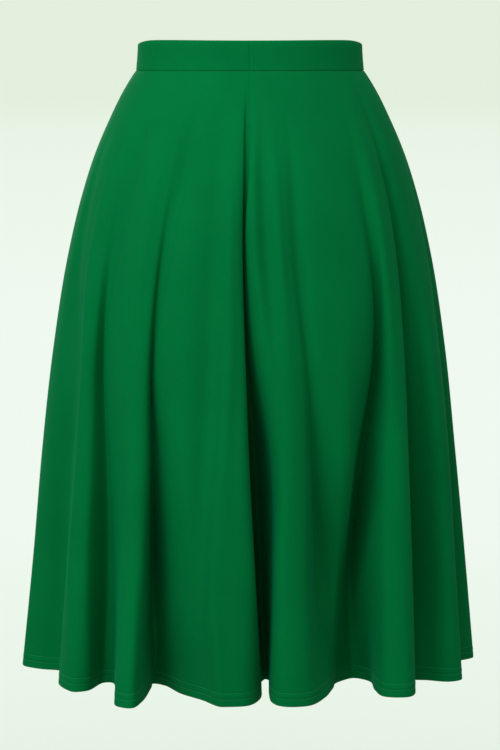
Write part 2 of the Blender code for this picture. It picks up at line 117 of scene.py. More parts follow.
# ================================================================ the folds
# Each row is one line down the cloth: a crest, the shoulder or flank of a crest, or the bed of a
# fold. az is the angle round the body in degrees, 0 at centre front and growing towards +X, and
# out is the share of the ring's size that the line reaches. A row with a wide value stands for two
# lines, that many degrees to each side at the hem and closer together above. The angles of the
# front rows, a_front to g_right, and most of their hem shares were first solved by a program from
# places in the picture and rounded. Some were changed since. The program also interpolated
# some of the other rows' thigh and calf values.
LEVELS = (PANEL_TOP, -0.2230, -0.3400, -0.4570, -0.5800, HEM)   # waist, hip, thigh, knee, calf, hem
WAIST_WIDE = 0.35                             # the share of wide that is left at the waist
FOLDS = [
    # name   az_waist  az, out at hip   at thigh    at knee     at calf     at hem      wide
    ("side_left", -98, -98, 1.00, -98.5, 0.99, -99, 0.98, -99.5, 0.98, -100, 0.98, 0),
    ("a", -89, -90, 1.00, -90.5, 1.00, -91, 1.00, -91, 1.00, -91, 1.01, 3),
    ("a_front", -78, -76, 0.99, -77.5, 0.98, -78, 0.97, -82, 0.95, -83, 0.94, 0),
    ("ab_bed", -71, -72.5, 0.97, -67.5, 0.94, -71.5, 0.90, -76.5, 0.87, -78, 0.84, 0),
    ("b_left", -65, -64.5, 0.99, -58, 0.98, -57.5, 0.97, -60, 0.95, -60.5, 0.95, 0),
    ("b", -59, -58.5, 1.00, -55, 1.00, -54, 0.99, -55, 0.98, -50.5, 0.99, 1),
    ("b_right", -52, -53.5, 0.98, -52.5, 0.97, -50.5, 0.96, -50.5, 0.95, -48.5, 0.93, 0),
    ("bc_bed", -47.5, -51.5, 0.95, -54, 0.89, -52.5, 0.84, -54.5, 0.78, -55.5, 0.77, 0),
    ("bc_flank", -44.5, -47, 0.97, -48.5, 0.93, -47, 0.87, -50, 0.79, -54, 0.74, 0),
    ("c_left", -39.5, -41, 1.00, -42.5, 0.98, -37, 0.96, -38.5, 0.92, -36, 0.97, 0),
    ("c", -35.5, -37, 1.01, -37.5, 1.00, -34, 0.99, -33.5, 1.00, -30.5, 1.10, 0),
    ("c_crest", -31.5, -33, 1.01, -33, 1.01, -31, 1.00, -30, 1.01, -26.5, 1.11, 0),
    ("c_right", -27, -30, 0.99, -30.5, 0.98, -29.5, 0.96, -29, 0.97, -28, 0.97, 0),
    ("cd_bed", -24, -29, 0.96, -32, 0.90, -35, 0.79, -41.5, 0.66, -37.5, 0.70, 0),
    ("cd_wall", -21.5, -26, 0.98, -28.5, 0.94, -29.5, 0.83, -35.5, 0.69, -42.5, 0.62, 0),
    ("d_left", -18.5, -22.5, 0.99, -24.5, 0.96, -23, 0.91, -26, 0.79, -36.5, 0.62, 0),
    ("d_face", -15.5, -19, 1.00, -19, 0.97, -18.5, 0.94, -18.5, 0.87, -23.5, 0.74, 0),
    ("d_dip", -10.5, -12.5, 0.99, -12.5, 0.96, -13, 0.94, -13, 0.92, -13.5, 0.85, 0),
    ("d", -6.5, -7, 1.01, -7, 1.00, -8, 0.99, -8.5, 0.99, -6.5, 0.97, 1),
    ("d_edge", -3.5, -3.5, 1.00, -2.5, 0.98, -2, 0.98, -1, 0.97, -0.5, 0.94, 0),
    ("d_right", -2, -2.5, 0.97, -1.5, 0.95, -0.5, 0.94, 1, 0.93, 3, 0.80, 0),
    ("slit_left", -1.5, -3, 0.90, -2.5, 0.82, -1.5, 0.61, 1, 0.45, 6.5, 0.43, 0),
    ("slit_bed", -1, -2.5, 0.86, -1, 0.72, 2.5, 0.47, 7.5, 0.35, 11, 0.36, 0),
    ("slit_right", -0.5, -1.5, 0.90, 0.5, 0.80, 7, 0.58, 10.5, 0.44, 12, 0.44, 0),
    ("front_seam", 0, -0.5, 0.96, 2.5, 0.89, 7.5, 0.74, 9, 0.60, 7.5, 0.63, 0),
    ("e_left", 1, 0.5, 0.98, 4, 0.94, 7.5, 0.87, 7.5, 0.80, 6, 0.83, 0),
    ("e_lip", 2.5, 1.5, 1.00, 5.5, 0.97, 8, 0.93, 7, 0.92, 6, 0.86, 0),
    ("e_dip", 4.5, 5, 0.98, 7.5, 0.98, 8.5, 0.96, 7.5, 0.96, 7, 0.94, 0),
    ("e", 8, 9, 1.01, 10.5, 1.00, 10.5, 0.98, 9, 0.98, 9.5, 0.98, 0),
    ("e_shoulder", 11.5, 11.5, 1.00, 14.5, 0.98, 15.5, 0.95, 15, 0.95, 15, 0.97, 0),
    ("e_right", 14.5, 14.5, 0.98, 17.5, 0.94, 20.5, 0.83, 23.5, 0.73, 22.5, 0.83, 0),
    ("e_panel", 18, 18, 1.00, 19.5, 0.97, 24, 0.88, 27, 0.72, 28, 0.73, 0),
    ("ef_panel", 28, 26.5, 1.00, 25.5, 0.98, 27, 0.92, 31, 0.74, 33.5, 0.65, 0),
    ("ef_edge", 36.5, 36, 0.99, 29.5, 0.98, 30.5, 0.91, 34, 0.72, 38.5, 0.59, 0),
    ("ef_wall", 39, 40, 0.98, 38, 0.93, 37, 0.80, 41.5, 0.64, 45.5, 0.56, 0),
    ("ef_bed", 41, 43.5, 0.95, 48, 0.83, 48.5, 0.69, 52, 0.57, 54, 0.56, 0),
    ("ef_flank", 43.5, 44.5, 0.97, 47, 0.88, 46.5, 0.78, 48, 0.68, 52, 0.66, 0),
    ("f_left", 46.5, 45, 0.99, 44.5, 0.95, 42, 0.93, 40.5, 0.89, 41.5, 0.81, 0),
    ("f", 49, 46, 1.00, 44.5, 0.98, 42.5, 0.96, 40.5, 0.94, 37.5, 0.94, 0),
    ("f_crest", 52, 48.5, 1.00, 47, 0.99, 45, 0.99, 44, 0.98, 42, 1.01, 0),
    ("f_right", 55, 52, 0.99, 50.5, 0.98, 48.5, 0.98, 48, 0.97, 48, 0.95, 0),
    ("fg_bed", 59, 58, 0.93, 61, 0.84, 63, 0.76, 64.5, 0.72, 57.5, 0.74, 0),
    ("g_left", 64, 62.5, 0.97, 65.5, 0.91, 67.5, 0.86, 68.5, 0.83, 63.5, 0.84, 0),
    ("g", 69, 70, 0.99, 67.5, 0.98, 68.5, 0.97, 68, 0.96, 64.5, 0.96, 0),
    ("g_right", 76, 77, 0.99, 76.5, 0.98, 74.5, 0.98, 72, 0.98, 69, 0.99, 0),
    ("gh_bed", 83, 85, 0.97, 86, 0.93, 87, 0.88, 86, 0.84, 85, 0.81, 2),
    ("h", 91, 94, 1.00, 96, 1.00, 98, 1.00, 99.5, 1.01, 101, 1.02, 2),
    ("side_right", 100, 103, 0.99, 105, 0.98, 107, 0.97, 108.5, 0.97, 110, 0.97, 0),
    ("hi_bed", 107, 109, 0.95, 111, 0.90, 113, 0.83, 113.5, 0.78, 114, 0.74, 2),
    ("i", 118, 119, 1.00, 120.5, 1.00, 122, 0.99, 122.5, 0.99, 123, 0.99, 4),
    ("ij_bed", 130, 130, 0.94, 130.5, 0.86, 131, 0.78, 131, 0.72, 131, 0.66, 2.5),
    ("j", 141, 141, 1.00, 140.5, 1.00, 140, 1.00, 139.5, 1.01, 139, 1.02, 4),
    ("jk_bed", 151, 151, 0.93, 151, 0.85, 151, 0.77, 150.5, 0.71, 150, 0.65, 2.5),
    ("k", 164, 164, 1.00, 163.5, 1.00, 163, 0.99, 162.5, 1.00, 162, 1.00, 5),
    ("kl_bed", 173, 173, 0.99, 173, 0.97, 173, 0.93, 173, 0.88, 173, 0.83, 2),
    ("back_seam", 180, 180, 1.00, 180, 0.98, 180, 0.96, 180.5, 0.95, 181, 0.93, 0),
    ("l", 190, 190, 1.00, 190.5, 1.00, 191, 0.99, 191.5, 0.99, 192, 1.00, 4),
    ("lm_bed", 204, 204, 0.93, 203.5, 0.84, 203, 0.75, 203, 0.68, 203, 0.62, 3),
    ("m", 218, 217, 1.00, 216.5, 1.00, 216, 1.00, 215.5, 1.01, 215, 1.01, 5),
    ("mn_bed", 229, 229, 0.94, 229, 0.87, 229, 0.79, 229, 0.73, 229, 0.68, 2.5),
    ("n", 241, 241, 1.00, 241, 1.00, 241, 1.00, 240.5, 0.99, 240, 0.98, 5),
    ("na_bed", 254, 254, 0.95, 254, 0.90, 254, 0.84, 253.5, 0.79, 253, 0.73, 2.5),
]
PANELS = {
    "front_left": ("side_left", "front_seam"),
    "front_right": ("front_seam", "side_right"),
    "back_right": ("side_right", "back_seam"),
    "back_left": ("back_seam", "side_left"),
}
BANDS = ("front_left", "front_right", "back_right", "back_left")   # from the left side round the front

# Creases laid over the folds: a soft ridge, or a trough where the height is negative. Each runs from
# one place to another, and a place is a fold line and a share of the way to the next line.
CREASES = [
    # from line  share  to line  share   top     bottom   height  half_width
    ("d_2", 0.20, "d_2", 0.10, -0.050, -0.620, 0.0036, 0.0065),
    ("d_dip", 0.20, "d_dip", 0.20, -0.050, -0.330, -0.0016, 0.0090),
    ("d_dip", 0.30, "d_dip", 0.30, -0.180, -0.620, -0.0045, 0.0150),
    ("front_seam", 0.00, "slit_left", 0.00, -0.020, -0.260, -0.0036, 0.0050),
    ("e_dip", 0.00, "e_dip", 0.20, -0.060, -0.340, -0.0026, 0.0070),
    ("e", 0.00, "e", 0.00, -0.060, -0.380, 0.0016, 0.0060),
    ("e_right", 0.35, "e_right", 0.30, -0.050, -0.400, -0.0028, 0.0070),
    ("cd_wall", 0.20, "cd_bed", 0.60, -0.030, -0.330, -0.0048, 0.0075),
    ("c", 0.80, "c", 0.50, -0.060, -0.370, 0.0022, 0.0075),
    ("bc_flank", 0.10, "bc_bed", 0.50, -0.040, -0.330, -0.0048, 0.0075),
    ("b_2", 0.30, "b_1", 0.50, -0.080, -0.400, 0.0018, 0.0080),
    ("ef_edge", 0.60, "ef_bed", 0.50, -0.080, -0.330, -0.0030, 0.0090),
    ("f_left", 0.30, "f_left", 0.60, -0.030, -0.310, 0.0020, 0.0080),
    ("f_right", 0.60, "fg_bed", 0.30, -0.020, -0.350, -0.0046, 0.0065),
    ("g_left", 0.60, "g_left", 0.40, -0.090, -0.420, 0.0009, 0.0080),
    ("gh_bed_1", 0.50, "gh_bed_1", 0.50, -0.080, -0.360, -0.0018, 0.0090),
    ("hi_bed_1", 0.30, "hi_bed_1", 0.50, -0.050, -0.330, -0.0022, 0.0090),
    ("i_1", 0.60, "i_1", 0.40, -0.080, -0.400, 0.0012, 0.0080),
    ("ij_bed_1", 0.50, "ij_bed_1", 0.50, -0.060, -0.300, -0.0020, 0.0080),
    ("j_1", 0.20, "j_1", 0.60, -0.070, -0.420, 0.0013, 0.0070),
    ("jk_bed_1", 0.40, "jk_bed_1", 0.60, -0.050, -0.340, -0.0024, 0.0080),
    ("k_1", 0.70, "k_1", 0.40, -0.090, -0.380, 0.0010, 0.0070),
    ("kl_bed_2", 0.50, "kl_bed_2", 0.30, -0.100, -0.440, -0.0012, 0.0070),
    ("l_1", 0.60, "l_1", 0.40, -0.080, -0.460, 0.0012, 0.0060),
    ("lm_bed_1", 0.50, "lm_bed_1", 0.40, -0.050, -0.320, -0.0024, 0.0090),
    ("m_1", 0.30, "m_1", 0.60, -0.080, -0.400, 0.0013, 0.0080),
    ("mn_bed_1", 0.50, "mn_bed_1", 0.50, -0.070, -0.330, -0.0018, 0.0080),
    ("n_1", 0.60, "n_1", 0.30, -0.090, -0.410, 0.0011, 0.0080),
    ("na_bed_1", 0.50, "na_bed_1", 0.50, -0.060, -0.340, -0.0020, 0.0090),
]


# ================================================================ curves
def hermite(x, knots, values, first_slope=None):
    """A smooth curve at x through rows of values at ascending knots."""
    values = np.asarray(values, float)
    span = np.diff(knots)
    rise = np.diff(values, axis=0) / span[:, None]
    inner = (rise[:-1] * span[1:, None] + rise[1:] * span[:-1, None]) / (span[1:] + span[:-1])[:, None]
    start = rise[:1] if first_slope is None else np.full_like(rise[:1], first_slope)
    slopes = np.vstack([start, inner, rise[-1:]])
    i = int(np.clip(np.searchsorted(knots, x, side="left") - 1, 0, len(span) - 1))
    t = min(max((x - knots[i]) / span[i], 0.0), 1.0)
    return ((2 * t ** 3 - 3 * t ** 2 + 1) * values[i] + (3 * t ** 2 - 2 * t ** 3) * values[i + 1]
            + (t ** 3 - 2 * t ** 2 + t) * span[i] * slopes[i]
            + (t ** 3 - t ** 2) * span[i] * slopes[i + 1])


def ring_size(z):
    """Half width and half depth of the smooth body at height z."""
    table = np.array(RINGS)
    return hermite(-z, -table[:, 0], table[:, 1:])


def on_ring(z, azimuth, out=1.0):
    """Points at height z, for arrays of azimuths in degrees and shares of the ring's size."""
    half_wide, half_deep = ring_size(z)
    angle = np.radians(azimuth)
    return np.stack([out * half_wide * np.sin(angle), -out * half_deep * np.cos(angle),
                     np.full(np.shape(angle), z)], axis=-1)


def fold_lines():
    """The table's rows as names and an array, with each round crest or bed as its two lines."""
    names, rows = [], []
    for name, *values, wide in FOLDS:
        sides = (("_1", -wide), ("_2", wide)) if wide else (("", 0.0),)
        for ending, shift in sides:
            names.append(name + ending)
            rows.append([*values, shift])
    return names, np.array(rows)


LINE_NAMES, LINES = fold_lines()


def fold_points(z):
    """Where every fold line passes the height z."""
    down = -np.array(LEVELS)
    share = (PANEL_TOP - z) / (PANEL_TOP - HEM)
    az_waist, below, shift = LINES[:, 0], LINES[:, 1:-1], LINES[:, -1]
    spread = WAIST_WIDE + (1.0 - WAIST_WIDE) * share
    azimuth = hermite(-z, down, [az_waist, *below[:, 0::2].T]) + shift * spread
    out = hermite(-z, down, [np.ones(len(LINES)), *below[:, 1::2].T], first_slope=0.0)
    return on_ring(z, azimuth, out)


def span_steps():
    """How many steps each span between two fold lines has, from its length at the hem."""
    lines = fold_points(HEM)
    lengths = np.linalg.norm(np.roll(lines, -1, axis=0) - lines, axis=1)
    return np.maximum(2, np.ceil(lengths / COLUMN_STEP)).astype(int)


STEPS = span_steps()
STARTS = np.concatenate([[0], np.cumsum(STEPS)])   # each line's column
COLUMNS = int(STARTS[-1])


def cloth_ring(z):
    """The whole cloth's middle at height z: centripetal Catmull-Rom curves through the fold lines."""
    lines = fold_points(z)
    span = np.repeat(np.arange(len(STEPS)), STEPS)
    t = (np.arange(COLUMNS) - STARTS[span]) / STEPS[span]
    p0, p1, p2, p3 = (lines[(span + k) % len(lines)] for k in (-1, 0, 1, 2))

    def knot(a, b):
        return np.sqrt(np.maximum(np.linalg.norm(b - a, axis=1), 1e-6))

    def mix(a, b, share):
        return a + (b - a) * share[:, None]

    k1 = knot(p0, p1)
    k2 = k1 + knot(p1, p2)
    k3 = k2 + knot(p2, p3)
    u = k1 + (k2 - k1) * t
    a1 = mix(p0, p1, u / k1)
    a2 = mix(p1, p2, (u - k1) / (k2 - k1))
    a3 = mix(p2, p3, (u - k2) / (k3 - k2))
    b1 = mix(a1, a2, u / k2)
    b2 = mix(a2, a3, (u - k1) / (k3 - k1))
    return mix(b1, b2, (u - k1) / (k2 - k1))


def smooth(x):
    """Rises from 0 to 1 as x does, level at both ends."""
    x = np.clip(x, 0.0, 1.0)
    return x * x * (3 - 2 * x)


def normals_of(grid):
    """Outward unit normals of closed rings, from the top down; level at the first and last ring."""
    across = np.roll(grid, -1, axis=1) - np.roll(grid, 1, axis=1)
    along = np.gradient(grid, axis=0)
    normal = np.cross(along, across)
    normal[0, :, 2] = 0.0
    normal[-1, :, 2] = 0.0
    return normal / np.linalg.norm(normal, axis=2, keepdims=True)


# ================================================================ the cloth's form
def panel_rows():
    """Heights of the cloth's rows, from the waist seam to the hem, closer at both ends."""
    top = [BAND_BOTTOM - SEWN - d for d in TOP_ROWS]
    bottom = [HEM + d for d in reversed(HEM_ROWS)]
    count = int(round((top[-1] - bottom[0]) / ROW_STEP))
    between = np.linspace(top[-1], bottom[0], count + 1)[1:-1]
    return np.array([*top, *between, *bottom])


def column_of(line, share):
    i = LINE_NAMES.index(line)
    return STARTS[i] + share * STEPS[i]


def lay_creases(grid, rows):
    """Moves the cloth along its normals by each crease in the table."""
    lengths = np.linalg.norm(np.roll(grid, -1, axis=1) - grid, axis=2)
    along = np.concatenate([np.zeros((len(rows), 1)), np.cumsum(lengths, axis=1)], axis=1)
    total = along[:, -1:]
    columns = np.arange(COLUMNS + 1)
    height = np.zeros(grid.shape[:2])
    for line_0, share_0, line_1, share_1, top, bottom, rise, half_width in CREASES:
        way = np.clip((top - rows) / (top - bottom), 0.0, 1.0)
        column = column_of(line_0, share_0) + (column_of(line_1, share_1) - column_of(line_0, share_0)) * way
        fade = smooth(way / 0.35) * smooth((1 - way) / 0.45)
        for j in np.nonzero(fade > 0)[0]:
            centre = np.interp(column[j], columns, along[j])
            away = np.abs(along[j, :-1] - centre)
            away = np.minimum(away, total[j, 0] - away)
            height[j] += rise * fade[j] * np.exp(-(away / half_width) ** 2)
    return grid + normals_of(grid) * height[:, :, None]


def with_seam_columns(grid):
    """The same rows with extra columns beside both ends."""
    first = [grid[:, :1] + (grid[:, 1:2] - grid[:, :1]) * s for s in SEAM_SHARES]
    last = [grid[:, -1:] + (grid[:, -2:-1] - grid[:, -1:]) * s for s in reversed(SEAM_SHARES)]
    return np.concatenate([grid[:, :1], *first, grid[:, 1:-1], *last, grid[:, -1:]], axis=1)


def from_ends(grid):
    """How far each point is from the nearer end of its row, along the row."""
    lengths = np.linalg.norm(np.diff(grid, axis=1), axis=2)
    along = np.concatenate([np.zeros((len(grid), 1)), np.cumsum(lengths, axis=1)], axis=1)
    return along, np.minimum(along, along[:, -1:] - along)


def pulled_in(grid, back_first, back_last):
    """The rows with their ends moved back from the seam."""
    moved = grid.copy()
    for end, beside, back in ((0, 1, back_first), (-1, -2, back_last)):
        step = grid[:, beside] - grid[:, end]
        length = np.linalg.norm(step, axis=1, keepdims=True)
        moved[:, end] = grid[:, end] + step / length * np.minimum(back, 0.5 * length)
    return moved


def hem_shape(rows):
    """How far the outer and the inner face stand from the cloth's middle in each row."""
    up = rows - HEM
    edge = np.sqrt(np.clip(1 - (1 - np.minimum(up / HEM_ROWS[3], 1.0)) ** 2, 0.05, 1.0))
    groove = sum(STITCH_GROOVE * np.exp(-((up - row) / STITCH_GROOVE_HALF) ** 2) for row in STITCH_ROWS)
    middle = (STITCH_ROWS[0] + STITCH_ROWS[1]) / 2
    tunnel = TUNNEL * np.exp(-((up - middle) / TUNNEL_HALF) ** 2)
    outer = (CLOTH / 2 - groove + tunnel) * edge
    turned = 1 - smooth((up - (HEM_FOLD - TURN_EDGE / 2)) / TURN_EDGE)
    inner = (CLOTH / 2 + HEM_LAYER * turned - 0.5 * groove) * edge
    top = PANEL_TOP - rows
    outer = outer - SEAM_GROOVE * np.exp(-(top / SEAM_ROLL) ** 2)
    return outer, inner


def mesh_from_grids(name, outer, inner, pattern, material):
    """A closed wall from two grids of points, with the flat pattern as its UV map."""
    rows, columns = outer.shape[:2]
    points = np.concatenate([outer.reshape(-1, 3), inner.reshape(-1, 3)])
    index = np.arange(rows * columns).reshape(rows, columns)
    under = index + rows * columns

    def quads(a, b, c, d):
        return np.stack([a.ravel(), b.ravel(), c.ravel(), d.ravel()], axis=1)

    faces = [quads(index[:-1, :-1], index[1:, :-1], index[1:, 1:], index[:-1, 1:]),
             quads(under[:-1, :-1], under[:-1, 1:], under[1:, 1:], under[1:, :-1])]
    rims = ((index[0], under[0]), (under[-1], index[-1]), (under[:, 0], index[:, 0]),
            (index[:, -1], under[:, -1]))
    for a, b in rims:
        faces.append(quads(a[:-1], a[1:], b[1:], b[:-1]))
    faces = np.concatenate(faces)
    mesh = bpy.data.meshes.new(name)
    mesh.from_pydata(points.tolist(), [], faces.tolist())
    mesh.shade_smooth()
    layer = mesh.uv_layers.new(name="Pattern")
    flat = np.concatenate([pattern.reshape(-1, 2)] * 2)
    layer.uv.foreach_set("vector", flat[faces.ravel()].astype(np.float32).ravel())
    mesh.materials.append(material)
    mesh.validate()
    piece = bpy.data.objects.new(name, mesh)
    bpy.context.scene.collection.objects.link(piece)
    return piece


def cloth_grid():
    """The whole cloth's middle surface, with its creases, and its normals."""
    rows = panel_rows()
    grid = np.stack([cloth_ring(z) for z in rows])
    grid = lay_creases(grid, rows)
    return rows, grid, normals_of(grid)


def panel_pattern(grid):
    """Each point's place on the panel's flat cut: an eighth of a circle, its grain down the middle."""
    down = np.linalg.norm(np.diff(grid, axis=0), axis=2)
    radius = WAIST_RADIUS + np.vstack([np.zeros(grid.shape[1]), np.cumsum(down, axis=0)])
    along, _ = from_ends(grid)
    turn = (along / along[:, -1:] - 0.5) * math.pi / 4
    return np.stack([radius * np.sin(turn), radius * np.cos(turn)], axis=-1)


# ================================================================ materials
def new_material(name, roughness=0.8, specular=0.3):
    material = bpy.data.materials.new(name)
    material.use_nodes = True
    shader = material.node_tree.nodes["Principled BSDF"]
    shader.inputs["Roughness"].default_value = roughness
    shader.inputs["Specular IOR Level"].default_value = specular
    return material, material.node_tree, shader


def add_node(tree, kind, **inputs):
    node = tree.nodes.new(kind)
    for name, value in inputs.items():
        node.inputs[name.replace("_", " ")].default_value = value
    return node


def colour_between(tree, factor, dark, light):
    """A colour that goes from dark to light as factor does."""
    mix = tree.nodes.new("ShaderNodeMix")
    mix.data_type = "RGBA"
    mix.inputs["A"].default_value = (*dark, 1.0)
    mix.inputs["B"].default_value = (*light, 1.0)
    tree.links.new(factor, mix.inputs["Factor"])
    return mix.outputs["Result"]


def mapped(tree, value, low, high, to_low, to_high):
    ranged = add_node(tree, "ShaderNodeMapRange", From_Min=low, From_Max=high, To_Min=to_low, To_Max=to_high)
    tree.links.new(value, ranged.inputs["Value"])
    return ranged.outputs["Result"]


def calculated(tree, operation, *values):
    node = tree.nodes.new("ShaderNodeMath")
    node.operation = operation
    for i, value in enumerate(values):
        if isinstance(value, (int, float)):
            node.inputs[i].default_value = value
        else:
            tree.links.new(value, node.inputs[i])
    return node.outputs[0]


def knit_bands(tree, coordinates, direction, pitch, waver):
    """Rounded bands, pitch metres apart: the knit's wales or its courses."""
    wave = add_node(tree, "ShaderNodeTexWave", Scale=math.tau / 20 / pitch, Distortion=waver,
                    Detail=1.0)
    wave.inputs["Detail Scale"].default_value = 0.35
    wave.bands_direction = direction
    tree.links.new(coordinates, wave.inputs["Vector"])
    return wave.outputs["Fac"]


def crepe_knit(name, colour):
    """A matte crepe jersey: fine wales and courses, a pebbled face and slightly uneven dye."""
    material, tree, shader = new_material(name, 0.85, 0.20)
    shader.inputs["Specular Tint"].default_value = (0.02, 0.85, 0.40, 1.0)
    shader.inputs["Sheen Weight"].default_value = 0.18
    shader.inputs["Sheen Roughness"].default_value = 0.45
    shader.inputs["Sheen Tint"].default_value = (0.0, 0.80, 0.32, 1.0)
    pattern = tree.nodes.new("ShaderNodeUVMap")
    pattern.uv_map = "Pattern"
    place = tree.nodes.new("ShaderNodeTexCoord").outputs["Object"]

    dye = add_node(tree, "ShaderNodeTexNoise", Scale=11.0, Detail=3.0, Roughness=0.55)
    tree.links.new(place, dye.inputs["Vector"])
    pebble = add_node(tree, "ShaderNodeTexNoise", Scale=950.0, Detail=2.0, Roughness=0.6)
    tree.links.new(place, pebble.inputs["Vector"])
    wales = knit_bands(tree, pattern.outputs["UV"], "X", 0.00085, 2.0)
    courses = knit_bands(tree, pattern.outputs["UV"], "Y", 0.00070, 2.5)

    shade = calculated(tree, "ADD", mapped(tree, dye.outputs["Fac"], 0.3, 0.7, 0.0, 0.45),
                       mapped(tree, pebble.outputs["Fac"], 0.3, 0.7, 0.0, 0.40))
    shade = calculated(tree, "ADD", shade, mapped(tree, wales, 0.0, 1.0, 0.0, 0.15))
    dark = tuple(0.86 * c for c in colour)
    light = tuple(1.12 * c for c in colour)
    tree.links.new(colour_between(tree, shade, dark, light), shader.inputs["Base Color"])
    tree.links.new(mapped(tree, pebble.outputs["Fac"], 0.3, 0.7, 0.78, 0.92), shader.inputs["Roughness"])

    relief = calculated(tree, "ADD", calculated(tree, "MULTIPLY", pebble.outputs["Fac"], 0.6),
                        calculated(tree, "MULTIPLY", calculated(tree, "ADD", wales, courses), 0.2))
    bump = add_node(tree, "ShaderNodeBump", Strength=0.35, Distance=0.00035)
    tree.links.new(relief, bump.inputs["Height"])
    tree.links.new(bump.outputs["Normal"], shader.inputs["Normal"])
    return material


def thread(name, colour):
    """Spun polyester thread: two plies twisted together."""
    material, tree, shader = new_material(name, 0.55, 0.4)
    place = tree.nodes.new("ShaderNodeTexCoord").outputs["Object"]
    twist = add_node(tree, "ShaderNodeTexNoise", Scale=2600.0, Detail=1.0)
    tree.links.new(place, twist.inputs["Vector"])
    dark = tuple(0.75 * c for c in colour)
    light = tuple(1.2 * c for c in colour)
    tree.links.new(colour_between(tree, mapped(tree, twist.outputs["Fac"], 0.3, 0.7, 0.0, 1.0), dark, light),
                   shader.inputs["Base Color"])
    bump = add_node(tree, "ShaderNodeBump", Strength=0.4, Distance=0.0002)
    tree.links.new(twist.outputs["Fac"], bump.inputs["Height"])
    tree.links.new(bump.outputs["Normal"], shader.inputs["Normal"])
    return material


def zip_weave(name, colour):
    """The zip tape: a fine herringbone-like twill in dyed polyester."""
    material, tree, shader = new_material(name, 0.7, 0.3)
    place = tree.nodes.new("ShaderNodeTexCoord").outputs["Object"]
    twill = add_node(tree, "ShaderNodeTexWave", Scale=math.tau / 20 / 0.0008, Distortion=0.6)
    twill.bands_direction = "DIAGONAL"
    tree.links.new(place, twill.inputs["Vector"])
    dark = tuple(0.7 * c for c in colour)
    tree.links.new(colour_between(tree, twill.outputs["Fac"], dark, colour), shader.inputs["Base Color"])
    bump = add_node(tree, "ShaderNodeBump", Strength=0.5, Distance=0.0002)
    tree.links.new(twill.outputs["Fac"], bump.inputs["Height"])
    tree.links.new(bump.outputs["Normal"], shader.inputs["Normal"])
    return material


def enamel(name, colour):
    """A smooth, faintly worn and slightly uneven coat, for the enamelled slider and the nylon coil."""
    material, tree, shader = new_material(name, 0.3, 0.5)
    shader.inputs["Coat Weight"].default_value = 0.3
    place = tree.nodes.new("ShaderNodeTexCoord").outputs["Object"]
    wear = add_node(tree, "ShaderNodeTexNoise", Scale=420.0, Detail=4.0)
    tree.links.new(place, wear.inputs["Vector"])
    light = tuple(1.6 * c + 0.01 for c in colour)
    worn = mapped(tree, wear.outputs["Fac"], 0.45, 0.75, 0.0, 1.0)
    tree.links.new(colour_between(tree, worn, colour, light), shader.inputs["Base Color"])
    tree.links.new(mapped(tree, wear.outputs["Fac"], 0.3, 0.7, 0.25, 0.45), shader.inputs["Roughness"])
    bump = add_node(tree, "ShaderNodeBump", Strength=0.2, Distance=0.0001)
    tree.links.new(wear.outputs["Fac"], bump.inputs["Height"])
    tree.links.new(bump.outputs["Normal"], shader.inputs["Normal"])
    return material


GREEN = (0.0008, 0.1750, 0.0420)
KNIT = crepe_knit("crepe_knit", GREEN)
THREAD = thread("hem_thread", (0.022, 0.320, 0.130))
TAPE_WEAVE = zip_weave("zip_tape_weave", (0.006, 0.120, 0.040))
NYLON = enamel("zip_coil_nylon", (0.008, 0.150, 0.055))
ENAMEL = enamel("zip_enamel", (0.010, 0.140, 0.050))


# ================================================================ panels
def tube_mesh(name, paths, radius, sides, material, closed_ends=True):
    """One joined mesh of many short tubes; each path is an array of points."""
    turn = math.tau * np.arange(sides) / sides
    points, faces = [], []
    base = 0
    for path, outward in paths:
        count = len(path)
        along = np.gradient(path, axis=0)
        along /= np.linalg.norm(along, axis=1, keepdims=True)
        up = outward / np.linalg.norm(outward, axis=1, keepdims=True)
        side = np.cross(along, up)
        side /= np.linalg.norm(side, axis=1, keepdims=True)
        up = np.cross(side, along)
        thick = np.full(count, radius)
        if closed_ends:
            thick[[0, -1]] *= 0.35
        ring = (side[:, None, :] * np.cos(turn)[None, :, None] + up[:, None, :] * np.sin(turn)[None, :, None])
        points.append((path[:, None, :] + ring * thick[:, None, None]).reshape(-1, 3))
        for j in range(count - 1):
            for i in range(sides):
                a, b = base + j * sides + i, base + j * sides + (i + 1) % sides
                faces.append((a, b, b + sides, a + sides))
        faces.append(tuple(base + i for i in reversed(range(sides))))
        faces.append(tuple(base + (count - 1) * sides + i for i in range(sides)))
        base += count * sides
    mesh = bpy.data.meshes.new(name)
    mesh.from_pydata(np.concatenate(points).tolist(), [], faces)
    mesh.shade_smooth()
    mesh.materials.append(material)
    piece = bpy.data.objects.new(name, mesh)
    bpy.context.scene.collection.objects.link(piece)
    return piece


def row_at(grid, rows, height):
    """The grid's row nearest to a height."""
    return grid[int(np.argmin(np.abs(rows - height)))]


def points_along(line, places):
    """Points at given lengths along a polyline."""
    along = np.concatenate([[0.0], np.cumsum(np.linalg.norm(np.diff(line, axis=0), axis=1))])
    return np.stack([np.interp(places, along, line[:, k]) for k in range(3)], axis=-1), along[-1]


def hem_stitches(name, rows, outer, outward):
    """The twin needle's two rows of stitches, lying on the outside of one panel."""
    paths = []
    shares = np.array([0.0, 0.3, 0.7, 1.0])
    sink = np.array([-STITCH_SINK, STITCH_RISE, STITCH_RISE, -STITCH_SINK])
    for up in STITCH_ROWS:
        line, normal = row_at(outer, rows, HEM + up), row_at(outward, rows, HEM + up)
        _, total = points_along(line, [0.0])
        count = int(total / STITCH_PITCH)
        pitch = total / count
        for i in range(count):
            start = (i + 0.5 * (1 - STITCH_LONG / pitch)) * pitch
            places = start + shares * STITCH_LONG
            path, _ = points_along(line, places)
            facing = nearest_normals(line, normal, places)
            paths.append((path + facing * sink[:, None], facing))
    return tube_mesh(name, paths, STITCH_RADIUS, 5, THREAD)


